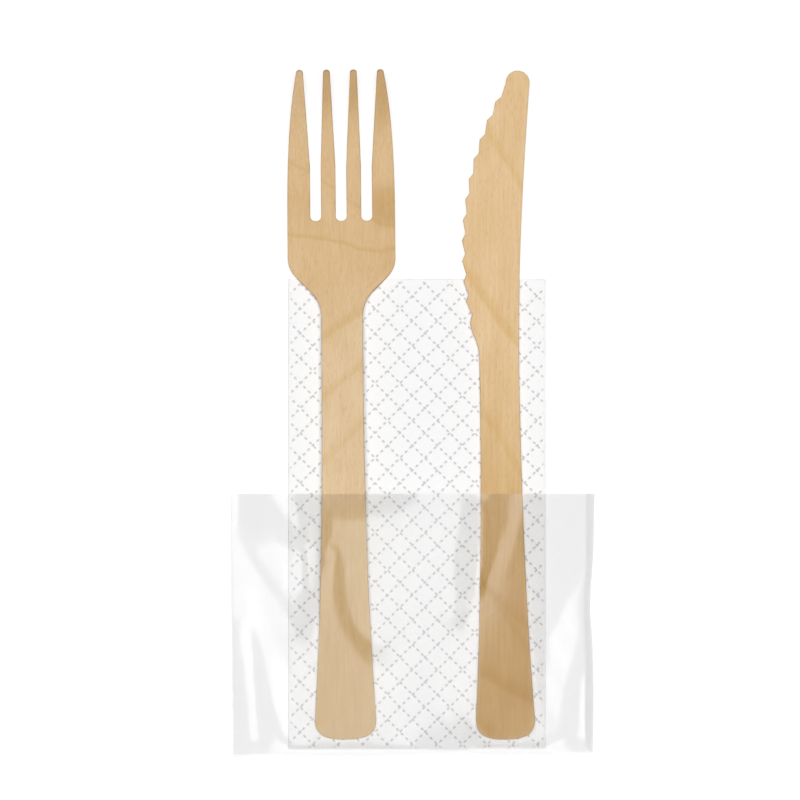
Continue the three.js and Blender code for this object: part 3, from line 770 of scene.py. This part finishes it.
# Lines that hold the front of the film: half the line's width, then points as places across the pouch,
# along it from its lower end, and in height
FILM_CREASES = {
    "left_margin": (0.7, ((-43.4, 65.0, 1.15), (-43.6, 58.0, 0.85))),
    "left_band_outer": (0.5, (
        (-35.4, 65.0, 3.6), (-32.4, 61.4, 3.65), (-29.2, 57.6, 3.8), (-27.0, 53.0, 3.9))),
    "left_band_inner": (0.5, ((-28.6, 65.0, 3.9), (-27.7, 59.5, 3.9), (-26.5, 54.5, 4.0))),
    "left_terrace": (0.4, ((-38.6, 50.6, 2.0), (-34.6, 51.4, 2.25), (-30.5, 52.2, 2.5))),
    "left_strip": (1.6, ((-27.6, 50.5, 2.85), (-27.6, 42.0, 3.3))),
    "left_step_top": (0.4, (
        (-38.4, 49.4, 2.05), (-35.8, 45.8, 2.5), (-32.6, 41.0, 3.1), (-30.5, 38.2, 3.5),
        (-27.8, 34.4, 4.0))),
    "left_step_foot": (0.4, (
        (-44.4, 55.2, 1.0), (-40.8, 50.0, 1.55), (-37.8, 45.2, 2.05), (-34.4, 40.2, 2.65),
        (-31.2, 35.8, 3.2), (-28.6, 32.0, 3.7))),
    "left_napkin_edge": (0.4, (
        (-30.5, 52.2, 2.5), (-30.5, 38.2, 3.5), (-30.5, 35.6, 3.3), (-30.5, 26.0, 3.95),
        (-30.5, 14.0, 4.15), (-30.5, 3.0, 4.0))),
    "left_ridge": (0.5, (
        (-39.4, 33.6, 2.55), (-37.6, 26.2, 3.2), (-34.8, 13.8, 3.85), (-32.0, 4.0, 3.9))),
    "left_streak": (1.6, (
        (-41.4, 31.0, 2.5), (-40.4, 25.0, 2.7), (-39.7, 13.8, 2.5), (-39.3, 8.9, 2.25),
        (-39.2, 4.0, 1.85))),
    "fork_edge_ridge": (0.35, (
        (-19.9, 65.0, 7.1), (-19.9, 57.0, 6.7), (-20.2, 52.0, 6.3), (-21.2, 48.0, 5.95))),
    "fork_edge_foot": (0.35, ((-22.6, 65.0, 6.35), (-22.6, 48.0, 5.6))),
    "fork_step_top": (0.35, (
        (-18.0, 53.5, 6.28), (-16.6, 45.7, 6.2), (-15.4, 39.2, 5.96), (-13.8, 32.8, 5.62),
        (-10.4, 29.3, 5.46), (-7.5, 27.6, 5.3))),
    "fork_step_foot": (0.35, (
        (-20.0, 51.0, 5.78), (-20.1, 45.7, 5.5), (-20.1, 37.3, 5.02), (-18.9, 31.3, 4.77),
        (-15.9, 25.9, 4.57), (-11.8, 22.8, 4.48), (-8.8, 21.3, 4.43))),
    "knife_band_top": (0.5, ((12.0, 62.0, 6.1), (10.0, 50.0, 6.0), (9.8, 34.0, 5.5))),
    "knife_band_foot": (0.35, ((16.6, 62.0, 4.35), (16.4, 38.0, 4.35), (12.6, 30.5, 4.6))),
    "knife_streak": (1.8, (
        (26.5, 65.0, 6.4), (24.8, 57.0, 6.0), (22.4, 50.0, 5.5), (19.4, 43.0, 5.1),
        (17.4, 36.5, 4.85), (16.4, 32.0, 4.7))),
    "right_step": (0.5, ((42.4, 45.0, 1.6), (38.2, 38.0, 2.25), (33.0, 28.6, 3.1))),
    "right_napkin_edge": (0.4, (
        (33.0, 28.6, 3.1), (33.0, 20.0, 3.7), (33.0, 10.0, 4.05), (33.0, 3.0, 4.0))),
    "right_ridge": (0.5, ((40.6, 27.0, 2.6), (39.0, 21.0, 3.05), (37.4, 13.8, 3.5), (35.6, 4.4, 3.7))),
    "right_shoulder": (0.7, ((42.0, 44.0, 1.7), (41.8, 36.0, 2.05), (41.5, 29.0, 2.35))),
    "right_streak": (0.7, ((41.6, 20.0, 2.0), (41.3, 11.0, 2.1), (41.0, 4.0, 1.9))),
    "fork_roll": (0.4, ((-30.5, 1.7, 3.9), (-8.0, 1.7, 3.95))),
    "middle_roll": (0.4, ((-8.0, 1.7, 3.95), (2.0, 1.9, 3.85))),
    "knife_roll": (0.4, ((15.5, 1.7, 3.95), (33.0, 1.7, 3.9))),
    "hollow_top": (0.5, ((4.0, 16.5, 4.3), (14.0, 16.5, 4.35))),
    "hollow_foot": (0.5, ((6.0, 3.6, 2.8), (13.5, 3.6, 2.6))),
}

# Places up the two sides of the pouch, the height of the fold there, and how round the fold is
LEFT_FOLD = ((0, 5, 14, 25, 35, 45, 55, 65), (0.3, 0.6, 1.6, 2.2, 2.0, 1.5, 1.0, 1.2))
RIGHT_FOLD = ((0, 3, 9, 19, 29, 39, 46, 52, 65), (0.3, 1.9, 2.1, 1.95, 1.9, 1.65, 1.6, 2.0, 2.2))
LEFT_ROUNDNESS, RIGHT_ROUNDNESS = 0.2, 2.1

# Shape of a fold seen along it: 1 is a straight wedge, and less is rounder
FOLD_SHAPE = 0.77

# Insets of the two lower corners, and how far the lower edge rises to the right
LEFT_INSET, RIGHT_INSET, LOWER_RISE = 0.6, 0.3, 0.6

# Pinch in the right side: its depth, its place up the side and its reach
PINCH_DEPTH, PINCH_PLACE, PINCH_REACH = 0.9, 38, 9

# Heights of the weld at the lower end, of the film's front beside the contents, and of its back
WELD_HEIGHT, LOW_HEIGHT, BACK_HEIGHT = 0.16, 0.3, 0.06

# Gaps over the contents before and after the film is softened, and between its front and its back
FIRST_GAP, LAST_GAP, SIDE_GAP = 0.12, 0.08, 0.1

# Lifted strip at the mouth: the share of the pouch below it, how hollow it is, its middle and half width
MOUTH_START, MOUTH_HOLLOW = 0.885, 1.7
LIFT_MIDDLE, LIFT_HALF_WIDTH = -11, 11

# Slight waves of the front: half height, radians for each millimetre across and along, and start
WAVES = ((0.03, 0.61, 0.17, 1.3), (0.03, 0.33, -0.29, 0.4), (0.02, 1.02, 0.43, 2.1))

# Length over which the waves grow from the lower end
WAVE_GROWTH = 6

# Waves of the back's flaps: half height, and radians for each millimetre across and along
BACK_WAVE, BACK_ACROSS, BACK_ALONG = 0.05, 0.5, 0.23

# How far from the pouch's middle the back's waves start, and the width over which they grow
FLAP_START, FLAP_GROWTH = 34, 4

# Gap to the knife at which the film starts to cling, and how much closer it clings in full
CLING_GAP, CLING_RANGE = 0.75, 0.4

# Height in metres from which rays are cast down on the contents
RAY_START = 0.05

# Points of the film's mesh across the front, along the pouch, and round each fold
FILM_COLUMNS, FILM_ROWS, FOLD_POINTS = 145, 105, 9


def film_grid():
    """Places of the film's front across and along the pouch, and its height at the two sides."""
    share = np.linspace(0, 1, FILM_COLUMNS)[None, :]
    up = np.linspace(0, 1, FILM_ROWS)[:, None]
    height = POUCH_HIGH[1] - POUCH_LOW[1]
    half = (POUCH_HIGH[0] - POUCH_LOW[0]) / 2
    left_fold = np.interp(up * height, *LEFT_FOLD)
    right_fold = np.interp(up * height, *RIGHT_FOLD)
    left = -half + LEFT_INSET * (1 - up) + LEFT_ROUNDNESS * left_fold / 2
    pinch = PINCH_DEPTH * np.exp(-(((up * height - PINCH_PLACE) / PINCH_REACH) ** 2))
    right = half - RIGHT_INSET * (1 - up) - pinch - RIGHT_ROUNDNESS * right_fold / 2
    across = left + (right - left) * share
    along = LOWER_RISE * share * (1 - up) + up * height
    return across, along, left_fold, right_fold


def contents_height(across, along, names):
    """Height of the highest of the named pieces at each place, or zero beside them."""
    depsgraph = bpy.context.evaluated_depsgraph_get()
    trees = [BVHTree.FromObject(bpy.data.objects[name], depsgraph) for name in names]
    heights = np.zeros(across.shape)
    for place in np.ndindex(across.shape):
        start = Vector((across[place] * MM, (along[place] + POUCH_LOW[1]) * MM, RAY_START))
        for tree in trees:
            hit = tree.ray_cast(start, Vector((0, 0, -1)))[0]
            if hit:
                heights[place] = max(heights[place], hit.z / MM)
    return heights


def near_line(points, across, along, reach):
    """Places within reach of a line of points, and the height of the line's nearest point."""
    best = np.full(across.shape, np.inf)
    level = np.zeros(across.shape)
    for first, second in zip(points[:-1], points[1:]):
        run = np.array(second[:2]) - np.array(first[:2])
        share = ((across - first[0]) * run[0] + (along - first[1]) * run[1]) / (run @ run)
        share = np.clip(share, 0, 1)
        away = np.hypot(across - first[0] - share * run[0], along - first[1] - share * run[1])
        closer = away < best
        best = np.where(closer, away, best)
        level = np.where(closer, first[2] + share * (second[2] - first[2]), level)
    return best < reach, level


def neighbours(heights):
    """Heights of the four neighbours of each place. A place on the edge stands in for a missing one."""
    padded = np.pad(heights, 1, mode="edge")
    return padded[:-2, 1:-1], padded[2:, 1:-1], padded[1:-1, :-2], padded[1:-1, 2:]


def widened(heights, cells):
    """Heights spread sideways by some cells: each place takes its highest neighbour's."""
    for _ in range(cells):
        heights = np.max([heights, *neighbours(heights)], axis=0)
    return heights


def softened(heights, rounds):
    """Heights after repeated averaging with the four neighbours."""
    for _ in range(rounds):
        heights = 0.5 * heights + 0.125 * sum(neighbours(heights))
    return heights


def tightened(heights, least, held, rounds=500, boost=1.9):
    """Film drawn tight over what it has to clear: places that are held keep their height."""
    rows, columns = np.indices(heights.shape)
    for turn in range(2 * rounds):
        mean = sum(neighbours(heights)) / 4
        moved = np.maximum(least, heights + boost * (mean - heights))
        heights = np.where(((rows + columns) % 2 == turn % 2) & ~held, moved, heights)
    return heights


def set_edges(heights, left_fold, right_fold):
    """Gives the front its heights at the two side folds and at the weld."""
    heights[:, 0] = left_fold[:, 0]
    heights[:, -1] = right_fold[:, 0]
    heights[0, :] = WELD_HEIGHT


def front_height(across, along, left_fold, right_fold, look):
    """Height of the pouch's front over the handles and the napkin, and how far it clings to the knife."""
    contents = contents_height(across, along, ("birch_fork", "birch_knife", "folded_napkin"))
    least = np.maximum(widened(contents, cells=2) + FIRST_GAP, LOW_HEIGHT)
    heights = least.copy()
    held = np.zeros(across.shape, bool)
    for half_width, crease in FILM_CREASES.values():
        near, level = near_line(crease, across, along, half_width)
        heights = np.where(near, np.maximum(least, level), heights)
        held |= near
    set_edges(heights, left_fold, right_fold)
    held[:, [0, -1]] = True
    held[0, :] = True
    heights = tightened(heights, least, held)
    heights = np.maximum(softened(heights, rounds=6), widened(contents, cells=1) + LAST_GAP)
    up = along / (POUCH_HIGH[1] - POUCH_LOW[1])
    mouth = np.clip((up - MOUTH_START) / (1 - MOUTH_START), 0, 1) ** MOUTH_HOLLOW
    lifted = np.exp(-(((across - LIFT_MIDDLE) / LIFT_HALF_WIDTH) ** 4))
    heights += look.mouth_lift / MM * mouth * lifted
    ripple = sum(size * (1 + np.sin(across * x + along * y + start)) for size, x, y, start in WAVES)
    inner = np.sin(math.pi * np.linspace(0, 1, FILM_COLUMNS)) ** 0.5
    heights += ripple * inner * np.clip(along / WAVE_GROWTH, 0, 1)
    set_edges(heights, left_fold, right_fold)
    knife = contents_height(across, along, ("birch_knife",))
    close = np.clip((CLING_GAP - heights + knife) / CLING_RANGE, 0, 1)
    return heights, softened(np.where(knife > 0, close, 0.0), rounds=12)


def film_rings(look):
    """Rings of points round the pouch, from its welded lower end to its mouth, and the front's cling."""
    across, along, left_fold, right_fold = film_grid()
    front, cling = front_height(across, along, left_fold, right_fold, look)
    along = along + POUCH_LOW[1]
    wave = BACK_WAVE * (1 + np.sin(across * BACK_ACROSS + along * BACK_ALONG))
    flap = np.clip(np.abs(across) - FLAP_START, 0, FLAP_GROWTH) / FLAP_GROWTH
    back = np.minimum(BACK_HEIGHT + wave * flap, front - SIDE_GAP)
    front_side = np.stack([across, along, front], 2)
    back_side = np.stack([across, along, back], 2)[:, ::-1]
    turns = np.radians(np.linspace(90, -90, FOLD_POINTS + 2)[1:-1])
    folds = []
    for edge, side, roundness in ((-1, 1, RIGHT_ROUNDNESS), (0, -1, LEFT_ROUNDNESS)):
        top, bottom = front_side[:, edge], back_side[:, 0 if side > 0 else -1]
        middle, half = (top + bottom) / 2, (top[:, 2] - bottom[:, 2]) / 2
        ordered = turns if side > 0 else turns[::-1]
        fold = [np.column_stack([
            middle[:, 0] + side * roundness * half * (1 - abs(math.sin(turn))) ** FOLD_SHAPE,
            middle[:, 1],
            middle[:, 2] + half * math.sin(turn),
        ]) for turn in ordered]
        folds.append(np.stack(fold, 1))
    return np.concatenate([front_side, folds[0], back_side, folds[1]], axis=1), cling


def inward(rings, distance):
    """Rings moved inwards by a distance, square to the film."""
    around = np.roll(rings, -1, axis=1) - np.roll(rings, 1, axis=1)
    up = np.gradient(rings, axis=0)
    outwards = np.cross(around, up)
    outwards /= np.linalg.norm(outwards, axis=2)[:, :, None] + 1e-12
    return rings - distance * outwards


def ring_faces(rows, size, first, flip):
    """Quads between neighbouring rings."""
    faces = []
    for row in range(rows - 1):
        for k in range(size):
            after = (k + 1) % size
            low, high = first + row * size, first + (row + 1) * size
            face = [low + k, low + after, high + after, high + k]
            faces.append(face[::-1] if flip else face)
    return faces


def end_faces(first, flip):
    """Strip that closes a ring's end from its front to its back."""
    back = first + 2 * FILM_COLUMNS + FOLD_POINTS - 1
    size = 2 * (FILM_COLUMNS + FOLD_POINTS)
    faces = [[first + k, back - k, back - k - 1, first + k + 1] for k in range(FILM_COLUMNS - 1)]
    right = list(range(first + FILM_COLUMNS - 1, first + FILM_COLUMNS + FOLD_POINTS + 1))
    left = list(range(first + size - FOLD_POINTS - 1, first + size)) + [first]
    faces += [right[::-1], left[::-1]]
    return [face[::-1] for face in faces] if flip else faces


def film_mesh(look):
    """Points, faces and cling of the pouch as a closed wall of film."""
    outer, cling = film_rings(look)
    rows, size, _ = outer.shape
    weld_rows = 1
    inner = inward(outer, look.film / MM)[weld_rows:]
    points = np.concatenate([outer.reshape(-1, 3), inner.reshape(-1, 3)])
    first = rows * size
    faces = ring_faces(rows, size, 0, False) + ring_faces(rows - weld_rows, size, first, True)
    faces += end_faces(0, False) + end_faces(first, True)
    mouth, inner_mouth = (rows - 1) * size, first + (rows - weld_rows - 1) * size
    for k in range(size):
        after = (k + 1) % size
        faces.append([mouth + k, mouth + after, inner_mouth + after, inner_mouth + k])
    share = np.zeros((rows, size))
    share[:, :FILM_COLUMNS] = cling
    return points, faces, np.concatenate([share.ravel(), share[weld_rows:].ravel()])


def film_material(look):
    """Clear film: what is behind shows through, and the faces mirror more the more aslant they are."""
    material, tree, shader = new_material("clear_film_wall")
    place = millimetres(tree)
    facing = add_node(tree, "ShaderNodeLayerWeight", {"Blend": 0.5}).outputs["Facing"]
    aslant = calculate(tree, "POWER", facing, 5.0)
    solid = calculate(tree, "MULTIPLY_ADD", aslant, 1 - look.mirror, look.mirror)
    tree.links.new(solid, shader.inputs["Alpha"])
    shader.inputs["Base Color"].default_value = (1, 1, 1, 1)
    shader.inputs["Metallic"].default_value = 1.0
    smear = noise(tree, place, (0.12, 0.05, 0.12), 2.0)
    cling = add_node(tree, "ShaderNodeAttribute", attribute_name="cling").outputs["Fac"]
    haze = calculate(tree, "MULTIPLY_ADD", cling, 0.35, remap(tree, smear, 0.3, 0.7, 0.18, 0.25))
    tree.links.new(haze, shader.inputs["Roughness"])
    pull = noise(tree, place, (0.35, 0.12, 0.35), 2.0)
    add_bump(tree, shader, pull, 0.05 * MM, strength=0.3)
    return material


class CUTLERY_KIT_OT_pouch(bpy.types.Operator):
    """Draws the clear film pouch tight over the handles and the napkin"""

    bl_idname = "cutlery_kit.pouch"
    bl_label = "Film pouch"

    def execute(self, context):
        look = context.scene.cutlery_kit.pouch
        points, faces, share = film_mesh(look)
        sleeve = new_piece("film_sleeve", points, faces)
        add_share(sleeve, "cling", share)
        face_outwards(sleeve)
        sleeve.data.set_sharp_from_angle(angle=math.radians(SHARP_FOLD))
        sleeve.data.materials.append(film_material(look))
        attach(sleeve, "root")
        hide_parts("film_pouch")
        return {"FINISHED"}


# Stage

FLOOR_HALF, FLOOR_DROP = 6000, 0.1

# Width of the camera's sensor, and the middle of its view across, along and in height
SENSOR_WIDTH = 36
VIEW_MIDDLE = (-3.12, 3.32, 3)

# How far the camera sees in metres, and the angle in degrees over which the dome's light is spread
VIEW_DEPTH, DOME_ANGLE = 20, 30


def floor_material(look):
    """Matt white floor that glows a little."""
    material, _, shader = new_material("white_floor")
    shader.inputs["Base Color"].default_value = (*look.floor, 1)
    shader.inputs["Roughness"].default_value = 0.9
    shader.inputs["Specular IOR Level"].default_value = 0.1
    shader.inputs["Emission Color"].default_value = (1, 1, 1, 1)
    shader.inputs["Emission Strength"].default_value = look.floor_glow
    return material


def studio_world(look):
    """Even dim light, which the film mirrors as a dark ceiling that turns pale towards the horizon."""
    world = bpy.data.worlds.new("soft_sky")
    world.use_nodes = True
    tree = world.node_tree
    direction = add_node(tree, "ShaderNodeTexCoord").outputs["Generated"]
    up = add_node(tree, "ShaderNodeSeparateXYZ", {0: direction}).outputs["Z"]
    pale = remap(tree, up, 0.6, 0.3, 0.0, look.horizon - look.sky, smooth=True)
    mirrored = add_node(tree, "ShaderNodeLightPath").outputs["Is Glossy Ray"]
    strength = calculate(tree, "MULTIPLY_ADD", pale, mirrored, look.sky)
    tree.nodes["Background"].inputs["Color"].default_value = (1, 1, 1, 1)
    tree.links.new(strength, tree.nodes["Background"].inputs["Strength"])
    return world


class CUTLERY_KIT_OT_stage(bpy.types.Operator):
    """Sets up the pale floor, the soft light and the camera that looks straight down"""

    bl_idname = "cutlery_kit.stage"
    bl_label = "Floor, light and camera"

    def execute(self, context):
        look = context.scene.cutlery_kit.stage
        scene = context.scene
        far, low = FLOOR_HALF, -FLOOR_DROP
        corners = [(-far, -far, low), (far, -far, low), (far, far, low), (-far, far, low)]
        floor = new_piece("floor", corners, [[0, 1, 2, 3]], smooth=False)
        floor.data.materials.append(floor_material(look))
        scene.world = studio_world(look)
        lamp = bpy.data.lights.new("softbox", "AREA")
        lamp.shape = "DISK"
        lamp.size = look.softbox_width
        lamp.energy = look.softbox_light * (math.pi * look.softbox_width / 2) ** 2
        new_object("softbox", lamp).location = (0, 0, look.softbox_height)
        glow = bpy.data.lights.new("dome", "SUN")
        glow.angle = math.radians(DOME_ANGLE)
        glow.energy = look.dome * math.pi
        new_object("dome", glow).visible_glossy = False
        lens = bpy.data.cameras.new("camera")
        lens.sensor_width = SENSOR_WIDTH
        lens.lens = look.lens
        lens.clip_end = VIEW_DEPTH
        camera = new_object("camera", lens)
        x, y, z = (value * MM for value in VIEW_MIDDLE)
        camera.location = (x, y, look.view_width * look.lens / SENSOR_WIDTH + z)
        scene.camera = camera
        scene.view_settings.view_transform = "Standard"
        return {"FINISHED"}


class CUTLERY_KIT_PT_sidebar(bpy.types.Panel):
    bl_idname = "CUTLERY_KIT_PT_sidebar"
    bl_label = "Cutlery kit"
    bl_space_type = "VIEW_3D"
    bl_region_type = "UI"
    bl_category = "Cutlery kit"

    def draw(self, context):
        kit = context.scene.cutlery_kit
        for operator, look in zip(OPERATORS, (kit.wood, kit.napkin, kit.pouch, kit.stage)):
            box = self.layout.box()
            box.operator(operator.bl_idname)
            for name in look.__annotations__:
                box.prop(look, name)


OPERATORS = (CUTLERY_KIT_OT_cutlery, CUTLERY_KIT_OT_napkin, CUTLERY_KIT_OT_pouch, CUTLERY_KIT_OT_stage)
CLASSES = (WoodLook, NapkinLook, PouchLook, StageLook, KitLook, *OPERATORS, CUTLERY_KIT_PT_sidebar)


def register():
    for kind in CLASSES:
        bpy.utils.register_class(kind)
    bpy.types.Scene.cutlery_kit = PointerProperty(type=KitLook)


def unregister():
    del bpy.types.Scene.cutlery_kit
    for kind in reversed(CLASSES):
        bpy.utils.unregister_class(kind)


def main():
    register()
    bpy.ops.cutlery_kit.cutlery()
    bpy.ops.cutlery_kit.napkin()
    bpy.ops.cutlery_kit.pouch()
    bpy.ops.cutlery_kit.stage()


if __name__ == "__main__":
    main()
